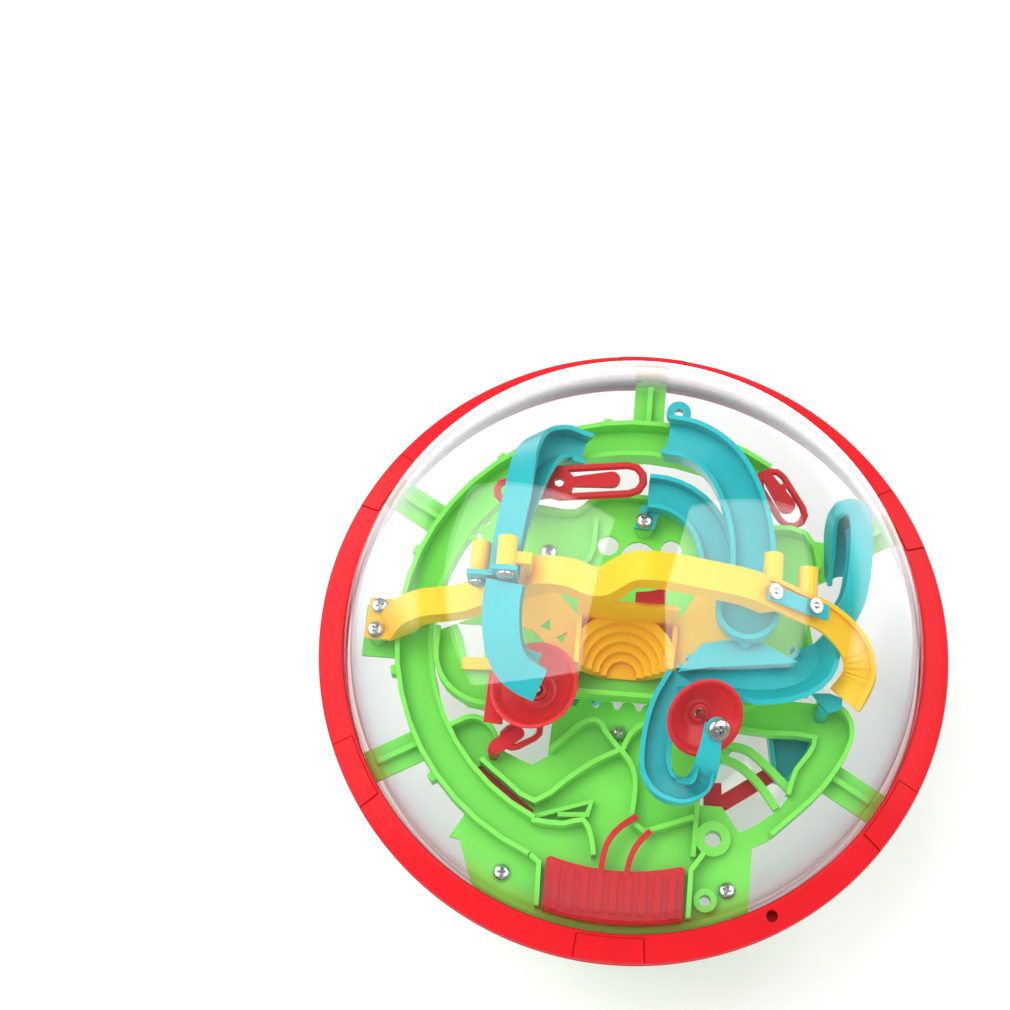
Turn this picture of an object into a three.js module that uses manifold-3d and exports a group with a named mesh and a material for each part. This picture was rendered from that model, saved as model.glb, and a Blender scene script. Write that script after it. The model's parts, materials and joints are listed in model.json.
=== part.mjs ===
// Clear maze ball: two clear domes clamped in a red equator ring, with a marble maze of boards, rails
// and cups inside.
// Millimetres, +Z up, origin at the centre of the ball, equator ring in the XY plane, start block towards -Y.
import * as THREE from "three";
import { mergeVertices } from "three/addons/utils/BufferGeometryUtils.js";
import Module from "manifold-3d";

const wasm = await Module();
wasm.setup();

// ---- driving dimensions -------------------------------------------------------------------------
const RING_R = 95; // outside radius of the equator ring
const RING_BORE = 87; // bore of each ring half, around the skirt of a dome
const RING_EDGE = 2.8; // height of the outer edge above the split line
const RING_LIP = 6.6; // height of the inner lip above the split line
const SPLIT = 0.15; // half of the gap between the two ring halves
const PAD_HALF = 6.2; // half angle of one raised pad on the ring, degrees
const PAD_RISE = 0.5; // how far a pad stands proud
const PAD_ANGLES = [30, 90, 150, 210, 270, 330];
const RING_SIDES = 48; // flats round the ring
const DOME_SIDES = 32; // flats round a dome
const DOME_R = 87; // outside radius of a dome
const DOME_WALL = 1.8; // thickness of the clear plastic
const SKIRT_TOP = 7; // where the round dome turns into its straight skirt
const FLANGE_R = 88.4; // outside radius of the flange at the foot of a dome
const FLANGE_LOW = 1.05; // underside of that flange above the split line
const FLANGE_HIGH = 2.4; // top of that flange
const SEAT_R = 88.7; // bore of the seat that holds the flange
const SEAT_HIGH = 2.7; // ceiling of that seat
const RIM_HOLE = [46, -78, 1.7]; // x, y and radius of the blind hole in the upper half ring

const BOARD_LOW = -0.7; // underside of the maze board
const FLOOR = 0.7; // top of the maze board, where the marble rolls
const WALL = 1.4; // thickness of a standard fence
const WALL_TOP = 7.4; // top of the fences on the board
const TRACK_IN = 60; // inner face of the ring track
const TRACK_OUT = 71.5; // outer face of the ring track
const TRACK_START = 57; // first angle of the ring track, degrees
const TRACK_END = 249; // last angle of the ring track, degrees
const MARBLE_R = 3.5;
const MARBLE_ANGLE = 175; // where the marble rests in the ring track, degrees
const TRAY_LOW = 8.2; // underside of the raised centre tray
const TRAY_FLOOR = 9.6; // floor of the raised centre tray
const TRAY_TOP = 15.8; // top of the walls of the centre tray

const LEFT_AXIS = new THREE.Vector3(-0.24, 0.08, 0.97).normalize(); // the left cup turns about this
const LEFT_SEAT = new THREE.Vector3(-25.6, -21.6, 20); // foot of the left cup
const RIGHT_AXIS = new THREE.Vector3(0.36, -0.5, 0.79).normalize(); // the right cup turns about this
const RIGHT_SEAT = new THREE.Vector3(19.6, -25.2, 29.8); // foot of the right cup

const SCREW_HEAD_R = 2.6;
const SCREW_HEAD_H = 1.7;
const SCREW_SHANK_R = 1.1;
const SCREW_HOLE_R = 1.5;

// ---- colours ------------------------------------------------------------------------------------
const RED = 0xe8323c;
const DEEP_RED = 0xc2242c;
const GREEN = 0x62d83e;
const TEAL = 0x1fa9b4;
const YELLOW = 0xf7c62d;
const CLEAR = 0xeef3f5;
const STEEL = 0xc8cacc;

// ---- geometry helpers ---------------------------------------------------------------------------
const rad = THREE.MathUtils.degToRad;

function solidOf(geometry) {
  const bare = geometry.clone();
  bare.deleteAttribute("normal");
  bare.deleteAttribute("uv");
  const merged = mergeVertices(bare, 1e-3);
  return new wasm.Manifold(
    new wasm.Mesh({
      numProp: 3,
      vertProperties: merged.attributes.position.array,
      triVerts: new Uint32Array(merged.index.array),
    }),
  );
}

function geometryOf(solid) {
  const mesh = solid.getMesh();
  const geometry = new THREE.BufferGeometry();
  geometry.setAttribute("position", new THREE.BufferAttribute(new Float32Array(mesh.vertProperties), 3));
  geometry.setIndex(new THREE.BufferAttribute(new Uint32Array(mesh.triVerts), 1));
  return geometry;
}

function join(...parts) {
  return geometryOf(parts.flat().map(solidOf).reduce((whole, part) => whole.add(part)));
}

function cut(base, ...tools) {
  return geometryOf(tools.flat().map(solidOf).reduce((whole, tool) => whole.subtract(tool), solidOf(base)));
}

function common(first, second) {
  return geometryOf(solidOf(first).intersect(solidOf(second)));
}

// Points of a circular arc in the XY plane, angles in degrees.
function arc(x, y, r, from, to, steps) {
  const points = [];
  for (let i = 0; i <= steps; i++) {
    const a = rad(from + ((to - from) * i) / steps);
    points.push([x + r * Math.cos(a), y + r * Math.sin(a)]);
  }
  return points;
}

// A flat plate with an XY outline, from z0 up to z1.
function slab(outline, z0, z1, holes = []) {
  const shape = new THREE.Shape(outline.map(([x, y]) => new THREE.Vector2(x, y)));
  for (const hole of holes) {
    shape.holes.push(new THREE.Path(hole.map(([x, y]) => new THREE.Vector2(x, y))));
  }
  const body = new THREE.ExtrudeGeometry(shape, { depth: z1 - z0, bevelEnabled: false });
  body.translate(0, 0, z0);
  return body;
}

// A round bar along Z.
function rod(x, y, r, z0, z1, sides = 16) {
  return slab(arc(x, y, r, 0, 360 - 360 / sides, sides - 1), z0, z1);
}

// A closed [radius, z] profile turned about the Z axis.
function turned(profile, sides) {
  const loop = [...profile, profile[0]].map(([r, z]) => new THREE.Vector2(r, z));
  const body = new THREE.LatheGeometry(loop, sides);
  body.rotateX(Math.PI / 2);
  return body;
}

// Smooth stations through control points of [x, y, z, bank, widen]. Bank turns the section about the
// path in degrees, and widen stretches it sideways.
function smooth(points, steps) {
  const corners = points.map(([x, y, z]) => new THREE.Vector3(x, y, z));
  const path = new THREE.CatmullRomCurve3(corners, false, "centripetal");
  const stations = [];
  for (let i = 0; i <= steps; i++) {
    const t = i / steps;
    const place = t * (points.length - 1);
    const low = Math.min(Math.floor(place), points.length - 2);
    const share = place - low;
    const [, , , bank0 = 0, widen0 = 1] = points[low];
    const [, , , bank1 = 0, widen1 = 1] = points[low + 1];
    const bank = rad(bank0 + (bank1 - bank0) * share);
    stations.push({ at: path.getPoint(t), bank, widen: widen0 + (widen1 - widen0) * share });
  }
  return stations;
}

// Straight legs between the control points, with mitred corners.
function straight(points) {
  return points.map(([x, y, z]) => ({ at: new THREE.Vector3(x, y, z), bank: 0, widen: 1 }));
}

// A [side, up] section carried along stations; side points right when looking along the path.
function sweep(section, stations, closed = false) {
  const up = new THREE.Vector3(0, 0, 1);
  const count = section.length;
  const last = stations.length - 1;
  const positions = [];
  for (let i = 0; i <= last; i++) {
    const here = stations[i].at;
    const before = stations[closed ? (i + last) % (last + 1) : Math.max(i - 1, 0)].at;
    const after = stations[closed ? (i + 1) % (last + 1) : Math.min(i + 1, last)].at;
    const into = here.clone().sub(before);
    const out = after.clone().sub(here);
    if (!closed && i === 0) into.copy(out);
    if (!closed && i === last) out.copy(into);
    into.normalize();
    out.normalize();
    const along = into.clone().add(out).normalize();
    const mitre = Math.min(1 / Math.max(along.dot(out), 0.5), 1.6);
    const level = new THREE.Vector3().crossVectors(along, up).normalize();
    const side = level.clone().applyAxisAngle(along, stations[i].bank);
    const rise = new THREE.Vector3().crossVectors(side, along);
    for (const [u, v] of section) {
      const across = u * mitre * stations[i].widen;
      const point = here.clone().addScaledVector(side, across).addScaledVector(rise, v);
      positions.push(point.x, point.y, point.z);
    }
  }
  const index = [];
  const rows = closed ? last + 1 : last;
  for (let i = 0; i < rows; i++) {
    const next = (i + 1) % (last + 1);
    for (let j = 0; j < count; j++) {
      const k = (j + 1) % count;
      const corners = [i * count + j, next * count + j, next * count + k, i * count + k];
      index.push(corners[0], corners[1], corners[2], corners[0], corners[2], corners[3]);
    }
  }
  const cap = THREE.ShapeUtils.triangulateShape(section.map(([u, v]) => new THREE.Vector2(u, v)), []);
  for (const [a, b, c] of closed ? [] : cap) {
    index.push(a, b, c);
    index.push(last * count + a, last * count + c, last * count + b);
  }
  const body = new THREE.BufferGeometry();
  body.setAttribute("position", new THREE.Float32BufferAttribute(positions, 3));
  body.setIndex(index);
  return body;
}

// Rectangular section, centred sideways, from v0 up to v1.
function bar(width, v0, v1) {
  return [[-width / 2, v0], [width / 2, v0], [width / 2, v1], [-width / 2, v1]];
}

// Open-topped channel section: floor plus two walls.
function channel(width, height, wall = 1.4) {
  const half = width / 2;
  return [
    [-half, 0],
    [half, 0],
    [half, height],
    [half - wall, height],
    [half - wall, wall],
    [wall - half, wall],
    [wall - half, height],
    [-half, height],
  ];
}

// Round wire section.
function wire(radius, sides = 6) {
  return arc(0, 0, radius, 0, 360 - 360 / sides, sides - 1);
}

// A fence standing on the board along XY points; steps = 0 keeps the corners sharp.
function fence(points, steps = 0, z0 = FLOOR - 0.3, z1 = WALL_TOP, width = WALL) {
  const path = points.map(([x, y]) => [x, y, z0]);
  return sweep(bar(width, 0, z1 - z0), steps ? smooth(path, steps) : straight(path));
}

// A round wire bent into a closed racetrack between two points.
function wireLoop([x0, y0, z0], [x1, y1, z1], r, thick) {
  const heading = Math.atan2(y1 - y0, x1 - x0);
  const stations = [];
  for (const [x, y, z, from] of [[x1, y1, z1, -90], [x0, y0, z0, 90]]) {
    for (let i = 0; i <= 5; i++) {
      const a = heading + rad(from + i * 36);
      const at = new THREE.Vector3(x + r * Math.cos(a), y + r * Math.sin(a), z);
      stations.push({ at, bank: 0, widen: 1 });
    }
  }
  return sweep(wire(thick), stations, true);
}

// Tips a body that stands along Z over to an axis and moves its foot to a point.
function lean(body, axis, foot) {
  body.applyQuaternion(new THREE.Quaternion().setFromUnitVectors(new THREE.Vector3(0, 0, 1), axis));
  body.translate(foot.x, foot.y, foot.z);
  return body;
}

// A flat drop-shaped paddle from one point to another, with a half width at each end.
function paddle([x0, y0, half0], [x1, y1, half1], z0, z1) {
  const heading = (Math.atan2(y1 - y0, x1 - x0) * 180) / Math.PI;
  const outline = [
    ...arc(x1, y1, half1, heading - 90, heading + 90, 6),
    ...arc(x0, y0, half0, heading + 90, heading + 270, 4),
  ];
  return slab(outline, z0, z1);
}

const root = new THREE.Group();
root.name = "maze_ball";

function piece(name, geometry, color, roughness = 0.35, metalness = 0) {
  const material = new THREE.MeshStandardMaterial({ color, roughness, metalness });
  const mesh = new THREE.Mesh(geometry, material);
  mesh.name = name;
  root.add(mesh);
  return mesh;
}

// ---- equator ring -------------------------------------------------------------------------------
const upperProfile = [
  [SEAT_R, SPLIT],
  [RING_R - 0.6, SPLIT],
  [RING_R, SPLIT + 0.6],
  [RING_R, RING_EDGE - 0.5],
  [RING_R - 0.6, RING_EDGE + 0.2],
  [RING_BORE + 1, RING_LIP],
  [RING_BORE, RING_LIP],
  [RING_BORE, SEAT_HIGH],
  [SEAT_R, SEAT_HIGH],
];

// The raised pad follows the sloping top of the ring over a short arc.
function pad(angle) {
  const section = [
    [RING_BORE + 1.2, RING_LIP - 1.2],
    [RING_R - 0.5, RING_EDGE - 1],
    [RING_R - 0.5, RING_EDGE + 0.2 + PAD_RISE],
    [RING_BORE + 1.2, RING_LIP + PAD_RISE],
  ];
  const positions = [];
  const steps = 3;
  for (let i = 0; i <= steps; i++) {
    const a = rad(angle - PAD_HALF + (2 * PAD_HALF * i) / steps);
    for (const [r, z] of section) {
      positions.push(r * Math.cos(a), r * Math.sin(a), z);
    }
  }
  const index = [];
  for (let i = 0; i < steps; i++) {
    for (let j = 0; j < 4; j++) {
      const a = i * 4 + j;
      const b = i * 4 + ((j + 1) % 4);
      index.push(a, b, b + 4, a, b + 4, a + 4);
    }
  }
  const end = steps * 4;
  index.push(0, 2, 1, 0, 3, 2, end, end + 1, end + 2, end, end + 2, end + 3);
  const body = new THREE.BufferGeometry();
  body.setAttribute("position", new THREE.Float32BufferAttribute(positions, 3));
  body.setIndex(index.reverse());
  return body;
}

function onCircle(angle, radius) {
  return [radius * Math.cos(rad(angle)), radius * Math.sin(rad(angle))];
}

const RING_SCREW_R = 91.9;
const ringHoles = PAD_ANGLES.map((angle) => rod(...onCircle(angle, RING_SCREW_R), 1.3, -9, 2.2, 8));
const ringSinks = PAD_ANGLES.map((angle) => rod(...onCircle(angle, RING_SCREW_R), 2.5, -9, -2.2, 10));
const rimHole = rod(...RIM_HOLE, 0.6, 12, 12);
const ringUpper = cut(join(turned(upperProfile, RING_SIDES), PAD_ANGLES.map(pad)), rimHole, ringHoles);
piece("ring_upper", ringUpper, RED);
const lowerProfile = upperProfile.map(([r, z]) => [r, -z]).reverse();
piece("ring_lower", cut(turned(lowerProfile, RING_SIDES), ringHoles, ringSinks), RED);

// ---- clear domes --------------------------------------------------------------------------------
function dome(sign) {
  const inner = DOME_R - DOME_WALL;
  const outerSkirt = Math.sqrt(DOME_R ** 2 - SKIRT_TOP ** 2);
  const innerSkirt = outerSkirt - DOME_WALL;
  const rings = 5;
  const profile = [
    [innerSkirt, FLANGE_LOW],
    [FLANGE_R, FLANGE_LOW],
    [FLANGE_R, FLANGE_HIGH],
    [outerSkirt, FLANGE_HIGH],
  ];
  const start = Math.asin(SKIRT_TOP / DOME_R);
  for (let i = 0; i <= rings; i++) {
    const a = start + ((Math.PI / 2 - start) * i) / rings;
    profile.push([i === rings ? 0 : DOME_R * Math.cos(a), DOME_R * Math.sin(a)]);
  }
  for (let i = rings; i >= 0; i--) {
    const a = start + ((Math.PI / 2 - start) * i) / rings;
    profile.push([i === rings ? 0 : inner * Math.cos(a), inner * Math.sin(a)]);
  }
  const placed = profile.map(([r, z]) => [r, sign * z]);
  return turned(sign > 0 ? placed : placed.reverse(), DOME_SIDES);
}
piece("dome_upper", dome(1), CLEAR, 0.05);
piece("dome_lower", dome(-1), CLEAR, 0.05);


// ---- maze board ---------------------------------------------------------------------------------
const trackWall = (r, from, to, steps) => fence(arc(0, 0, r, from, to, steps));
const trackFloor = slab(
  [
    ...arc(0, 0, TRACK_OUT, TRACK_START, TRACK_END, 26),
    ...arc(0, 0, TRACK_IN, TRACK_END, TRACK_START, 24),
  ],
  BOARD_LOW,
  FLOOR,
);

// A spoke is a flat tongue with one rib along it; it reaches into the gap between the dome flanges.
function spoke(angle) {
  const half = 4.8;
  const tongue = slab([[70.5, -half], [86.8, -half], [86.8, half], [70.5, half]], BOARD_LOW, FLOOR);
  const rib = slab([[70.5, -0.8], [84.2, -0.8], [84.2, 0.8], [70.5, 0.8]], FLOOR - 0.3, 4.2);
  const tab = slab([[86.5, -3], [88.2, -3], [88.2, 3], [86.5, 3]], BOARD_LOW, FLOOR);
  const whole = join(tongue, rib, tab);
  whole.rotateZ(rad(angle));
  return whole;
}

// Small outward lugs on the outer wall of the track.
function lug(angle) {
  const body = slab([[70.9, -1.6], [73.1, -1.2], [73.1, 1.2], [70.9, 1.6]], BOARD_LOW + 0.2, 5);
  body.rotateZ(rad(angle));
  return body;
}

const scallops = [];
for (let x = 10; x >= -16; x -= 6.5) {
  scallops.push(...arc(x - 3.25, -19.6, 2.6, 0, 180, 4));
}
const frontPlate = slab(
  [
    [-27, -38.5],
    [-22.5, -35.5],
    [-22, -24],
    ...scallops.reverse(),
    [10, -20.8],
    [23, -21.5],
    [23.5, -46.5],
    [30, -46.5],
    [38, -57],
    [39.5, -58.5],
    ...arc(0, 0, 86.6, -63, -118, 14),
    [-42, -74.5],
    [-46.5, -62.5],
    [-49.5, -62],
    [-45.5, -55],
    [-50, -48],
    [-42, -37],
    [-38, -34],
    [-30, -37.5],
  ],
  BOARD_LOW,
  FLOOR,
);
const slotCut = slab([[-44.2, -41.6], [-42.2, -39.8], [-25, -52.2], [-26.5, -54]], -2, 2);
const rightPlate = slab(
  [
    [22, -12.5],
    [61, -13],
    [66.5, -17.5],
    [67.3, -24.5],
    [62.5, -35],
    [57.5, -42],
    [50, -49.5],
    [44, -55.5],
    [38.5, -58.5],
    [33, -55.5],
    [41, -50.5],
    [47, -45.5],
    [49.5, -41.5],
    [51.5, -34],
    [55, -29],
    [56, -23.5],
    [43, -23.2],
    [33, -22.5],
    [22, -22],
  ],
  BOARD_LOW,
  FLOOR,
);
const leftPocket = slab(
  [
    ...arc(0, 0, 60.5, 211, 226, 5),
    [-38, -37],
    [-35, -33.6],
    [-40.5, -28.5],
    [-45, -26.5],
    [-50, -29],
  ],
  BOARD_LOW,
  FLOOR,
);
const rightLanding = slab(
  [
    [30, 45],
    [33.5, 53],
    [39.5, 46],
    [41.5, 38.5],
    [50, 38.5],
    [57, 38],
    [60.4, 40.4],
    [63.5, 32],
    [60, 27],
    [54, 24],
    [47, 30],
    [34, 30],
  ],
  BOARD_LOW,
  FLOOR,
);
const curvedStrips = [
  fence([[29.5, -28], [36.5, -29], [43, -34], [50, -40.5]], 8, BOARD_LOW, 2.4, 2.2),
  fence([[27.5, -31.5], [34.5, -34], [40.5, -39], [46, -46]], 8, BOARD_LOW, 2.4, 2.2),
  fence([[22.5, -27], [30.5, -28.5], [27.5, -32.5], [22.5, -34]], 0, BOARD_LOW, 1.6, 4),
];
// A raised ring on the board around a round opening of [x, y, outer radius, inner radius].
const BOSSES = [[27.8, -56.8, 5.3, 2.5], [26.6, -75, 3.5, 1.7]];
const bossRings = BOSSES.map(([x, y, outer]) => rod(x, y, outer, BOARD_LOW, 4.2, 14));
const bossBores = BOSSES.map(([x, y, , inner]) => rod(x, y, inner, -3, 6, 10));
const bridgePad = slab([[-81.5, -9], [-70.8, -9], [-70.8, 7], [-81.5, 7]], BOARD_LOW, FLOOR);
const BRACKET_SCREWS = [[-76.4, 4], [-76.9, -3.4]];
const bracketBosses = BRACKET_SCREWS.map(([x, y]) => rod(x, y, 2.6, BOARD_LOW, 8.3, 12));
const bracketBores = BRACKET_SCREWS.map(([x, y]) => rod(x, y, SCREW_HOLE_R, FLOOR, 12, 10));
const boardFences = [
  trackWall(TRACK_OUT - WALL / 2, TRACK_START, TRACK_END, 26),
  trackWall(TRACK_IN + WALL / 2, TRACK_START, 246, 24),
  fence([[-24.9, -66.4], [-22.2, -68.5], [-21.9, -81]]),
  fence([[-25.4, -56.2], [-16, -56.6], [-10.3, -55], [-7.6, -60], [-6.6, -65]], 8),
  fence([[-25, -54.8], [-8.4, -49], [-9.4, -53], [-18, -53.6]], 0, FLOOR - 0.3, 5),
  fence([[-21.6, -34.7], [-17, -30], [-12.4, -25.6], [-8, -25], [-5.6, -28.4], [-1.4, -33]], 9),
  fence([[-0.6, -33], [-8, -37], [-16.4, -43.6], [-25, -50.6], [-33.4, -45.6], [-42, -39.2]], 10),
  fence([[-1.4, -33], [1.6, -36], [3.8, -41], [4, -48], [3.4, -54.2]], 8),
  fence([[-0.6, -33.6], [1.4, -28.6], [5, -25], [10.2, -24]], 7),
  fence([[3.2, -53.6], [7.6, -57], [21.8, -51.4]]),
  fence([[22.6, -46.8], [22.4, -62.6]], 0, FLOOR - 0.3, 4.4),
  fence([[25.4, -61.6], [21.9, -67], [21.9, -81]]),
  fence([[-52.6, -30.2], [-46, -26.8], [-41, -28.2], [-36.2, -35]], 8),
  fence([[56, -14], [61, -14], [65.7, -18.2], [66.5, -24.6], [61.7, -35], [56.7, -42], [44.4, -54.6]], 14),
  fence([[24, -22.8], [43, -24], [56, -24.2], [54.4, -29.4], [50.9, -34.4], [49, -42]], 10, 0.4, 4.8),
];
const boardHoles = [
  rod(-33, -71.4, SCREW_HOLE_R, -3, 3, 8),
  rod(32.8, -71.2, SCREW_HOLE_R, -3, 3, 8),
  rod(-2, -27, SCREW_HOLE_R, -3, 3, 8),
];
const boardSolid = join(
  trackFloor,
  [30, 90, 150, 210, 330].map(spoke),
  [100, 128, 160, 191, 219].map(lug),
  frontPlate,
  rightPlate,
  leftPocket,
  rightLanding,
  curvedStrips,
  boardFences,
  bossRings,
  bridgePad,
  bracketBosses,
);
piece("maze_board", cut(boardSolid, slotCut, boardHoles, bossBores, bracketBores), GREEN);

// ---- start block --------------------------------------------------------------------------------
const BLOCK_TOP = 6;
const blockBody = slab(
  [
    ...arc(0, 0, 84.4, 256.1, 283.9, 8),
    [20.2, -66.8],
    ...arc(0, -2, 66.9, 286.5, 253.5, 8),
    [-20.2, -66.8],
  ],
  FLOOR + 0.1,
  BLOCK_TOP,
);
const blockRibs = [];
for (let x = -17; x <= 17; x += 4.25) {
  const outline = [[-1.1, -81.4], [1.1, -81.4], [1.1, -69.4], [-1.1, -69.4]];
  const rib = slab(outline, BLOCK_TOP - 0.4, BLOCK_TOP + 0.5);
  rib.translate(x, 0, 0);
  blockRibs.push(rib);
}
// Two thin prongs rise off the block and reach over the fences in front of it.
const prongSection = bar(1.7, 0, 1.5);
const prongs = [
  [[-4.1, -70.5, 5.2], [-3.8, -66, 6.6], [-2.6, -61, 7.8], [0.6, -56.6, 7.9], [5.2, -53, 7.9]],
  [[3.4, -70.5, 5.2], [4, -66, 6.6], [5.8, -61.4, 7.8], [9.4, -57, 7.9]],
];
const prongBars = prongs.map((path) => sweep(prongSection, smooth(path, 9)));
piece("start_block", join(blockBody, blockRibs, prongBars), DEEP_RED);

// ---- raised centre tray -------------------------------------------------------------------------
const trayOutline = [
  [-58.5, -2],
  [-58, -13],
  [-54, -20],
  [-47, -24.5],
  [-40, -25.5],
  [-36, -19.5],
  [36, -19],
  [40, -14.5],
  [53, -13.5],
  [54, -2],
  [50.5, 16],
  [55, 26],
  [50, 36.5],
  [40, 37.5],
  [30, 33],
  [14, 40],
  [3, 44.5],
  [-11.5, 44.5],
  [-19.5, 38.5],
  [-34, 39.5],
  [-44, 37],
  [-52, 28],
  [-43, 22],
  [-46, 4],
];
const trayHoles = [
  rod(-9.4, 29, 3.2, 0, 20),
  rod(0, 25.6, 5.4, 0, 20),
  rod(9.8, 29, 3.2, 0, 20),
  rod(-27.1, 25.2, SCREW_HOLE_R, 0, 20, 10),
  slab([[-51, 3], [-47.4, 4.6], [-44.4, 18], [-52, 18.6], [-56, 12]], 0, 20),
  slab([[18, 6], [34, 6], [34, 18], [18, 20]], 0, 20),
  slab([[-30, -6], [-20, -6], [-20, 4], [-28, 6]], 0, 20),
  slab([[-53, 1], [-44.6, 1], [-43.6, -9.2], [-48.8, -9.4], [-50.6, -3.4]], 0, 20),
];
// Three slots side by side near the left end of the tray, each [x, y, turn in degrees].
const traySlots = [[-48.2, 34.4, -25], [-50.2, 30, -30], [-50.8, 25.6, -35]].map(([x, y, turn]) => {
  const slot = slab([[-4, -0.9], [2.6, -0.9], [2.6, 0.9], [-4, 0.9]], 0, 20);
  slot.rotateZ(rad(turn));
  slot.translate(x, y, 0);
  return slot;
});
const trayFence = (points, steps, top) => fence(points, steps, TRAY_FLOOR - 0.3, top);
const trayWalls = [
  trayFence([[-57.8, -2], [-57.3, -12.6], [-53.6, -19.4], [-46.8, -23.7], [-40, -24.7]], 12, TRAY_TOP),
  trayFence([[-41, -18.4], [-20, -18.2], [0, -18.2], [35.6, -18.2], [40, -14]], 0, TRAY_TOP - 1),
  trayFence([[-34, 38.6], [-27, 37.8], [-19.8, 37.6], [-16, 41], [-11.6, 43.7], [2.6, 43.7]], 10, 14),
  trayFence(
    [[30.4, 34], [40, 36.7], [49.4, 35.7], [54, 26], [49.7, 16], [53.2, -2], [52.3, -12.6]],
    12,
    TRAY_TOP,
  ),
  trayFence([[-33, 20.6], [-20, 19.6], [-14.4, 24], [-13.6, 36]], 8, 13),
  trayFence([[14, 24], [22, 27], [34, 24]], 6, 13),
];
// A boss on the tray floor carries the tab of the inner rail.
const railBoss = rod(1, 34.8, 3, TRAY_LOW, 15.9, 14);
const railBossBore = rod(1, 34.8, SCREW_HOLE_R, TRAY_FLOOR + 0.6, 20, 10);
const traySolid = join(slab(trayOutline, TRAY_LOW, TRAY_FLOOR), trayWalls, railBoss);
piece("centre_tray", cut(traySolid, trayHoles, traySlots, railBossBore), GREEN);

// ---- yellow bridge ------------------------------------------------------------------------------
const bridgePath = [
  [-73.4, -2, 8.6],
  [-71, -0.8, 14.5],
  [-67.6, 0.4, 20.5],
  [-62, 1.5, 25],
  [-55, 2.2, 27],
  [-49.4, 3, 29],
  [-44, 4.5, 32.6],
  [-39, 6, 36.6],
  [-34, 6.4, 42],
  [-28.2, 6.3, 50],
  [-22, 6, 51.6],
  [-17, 5.2, 51.6],
  [-12.8, 3.4, 52.4],
  [-9.4, 3, 54],
  [-5.6, 4.8, 56.6],
  [-1.4, 6.6, 58.8],
  [4, 6.9, 59.8],
  [10, 6.7, 59.6],
  [20, 6, 58],
  [32, 5.5, 54],
  [40, 4.5, 48.5],
];
const bridgeEndPath = [
  [36, 5, 51.3],
  [40, 4.5, 48.5],
  [46.7, 3.4, 43.4],
  [53.6, 2.8, 38, 4],
  [60.2, 0.4, 31.6, 8, 1.04],
  [65.1, -3.4, 25.2, 14, 1.08],
  [66.8, -8.6, 20.6, 18, 1.16],
  [65, -13, 18.2, 12, 1.26],
  [63, -15.8, 17.4, 4, 1.3],
];
const BRIDGE_SKIRT = 6.6; // how far the front wall of the bridge hangs below its floor
const bridgeSection = [
  [-4.2, 0],
  [2.8, 0],
  [2.8, -BRIDGE_SKIRT],
  [4.2, -BRIDGE_SKIRT],
  [4.2, 1.5],
  [-4.2, 1.5],
];
const bridgeEndSection = [
  [-4.2, 0],
  [4.2, 0],
  [4.2, 1.5],
  [-2.9, 1.5],
  [-2.9, 2.7],
  [-4.2, 2.7],
];
const bridgeBracket = cut(
  slab([[-80.4, -6], [-72.6, -6], [-72.6, 6.6], [-79.6, 6.6]], 8.6, 10.2),
  bracketBores,
);

// A tube post lies along +Y behind the band and takes the screw of a rail clamp.
function post(x, y, z, length) {
  const body = rod(0, 0, 2.8, 0, length, 12);
  body.rotateX(-Math.PI / 2);
  body.translate(x, y, z);
  return body;
}
const POSTS = [
  [-44.5, 3.2, 51.5, 9.8],
  [-36.6, 3.2, 61.2, 8.8],
  [38.2, 7.9, 50.2, 8.6],
  [48.8, 6.4, 41.8, 9.4],
];
const bridgePosts = POSTS.map(([x, y, z, length]) => post(x, y, z, length));
const postWebs = [
  slab([[-45.7, 4.6], [-43.3, 4.6], [-43.3, 8], [-45.7, 8]], 32.6, 50),
  slab([[-36, 4.6], [-29.6, 4.6], [-29.6, 8], [-36, 8]], 59.4, 61.4),
  slab([[-31.6, 4.6], [-29.6, 4.6], [-29.6, 8], [-31.6, 8]], 49, 61.4),
];
const postBores = POSTS.map(([x, y, z]) => {
  const bore = rod(0, 0, 1.4, -1, 6, 8);
  bore.rotateX(-Math.PI / 2);
  bore.translate(x, y, z);
  return bore;
});
const bridgeBand = sweep(bridgeSection, smooth(bridgePath, 44));
const bridgeEnd = sweep(bridgeEndSection, smooth(bridgeEndPath, 24));
// The skirt stops short above the ring track, so that the marble rolls underneath.
const trackClearance = slab([[-71.4, -9], [-60, -9], [-60, 5], [-71.4, 5]], FLOOR, 8.3);
const bridgeBody = join(bridgeBand, bridgeEnd, bridgeBracket, bridgePosts, postWebs);
piece("bridge", cut(bridgeBody, postBores, trackClearance), YELLOW);

// ---- stepped funnel under the bridge --------------------------------------------------------------
const FUNNEL = [-2.4, -12.7]; // centre of the stepped bowl
const STEP_RISE = 3;
const STEP_RUN = 2.2;
const STEPS = 5;
const FUNNEL_LOW = TRAY_FLOOR + 0.3;
const bowlTop = FUNNEL_LOW + 1.6 + STEP_RISE * STEPS;
const bowlProfile = [[0, FUNNEL_LOW], [6, FUNNEL_LOW], [16, 21.5], [16, bowlTop]];
for (let i = STEPS; i >= 1; i--) {
  const r = 4.4 + STEP_RUN * i - STEP_RUN;
  bowlProfile.push([r, FUNNEL_LOW + 1.6 + STEP_RISE * i]);
  bowlProfile.push([r, FUNNEL_LOW + 1.6 + STEP_RISE * (i - 1)]);
}
bowlProfile.push([0, FUNNEL_LOW + 1.6]);
const bowlWhole = turned(bowlProfile, 28);
bowlWhole.translate(FUNNEL[0], FUNNEL[1], 0);
const bowlHalf = common(bowlWhole, slab([[-16, -13], [12.6, -13], [12.6, 1], [-16, 1]], 5, 40));
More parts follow.
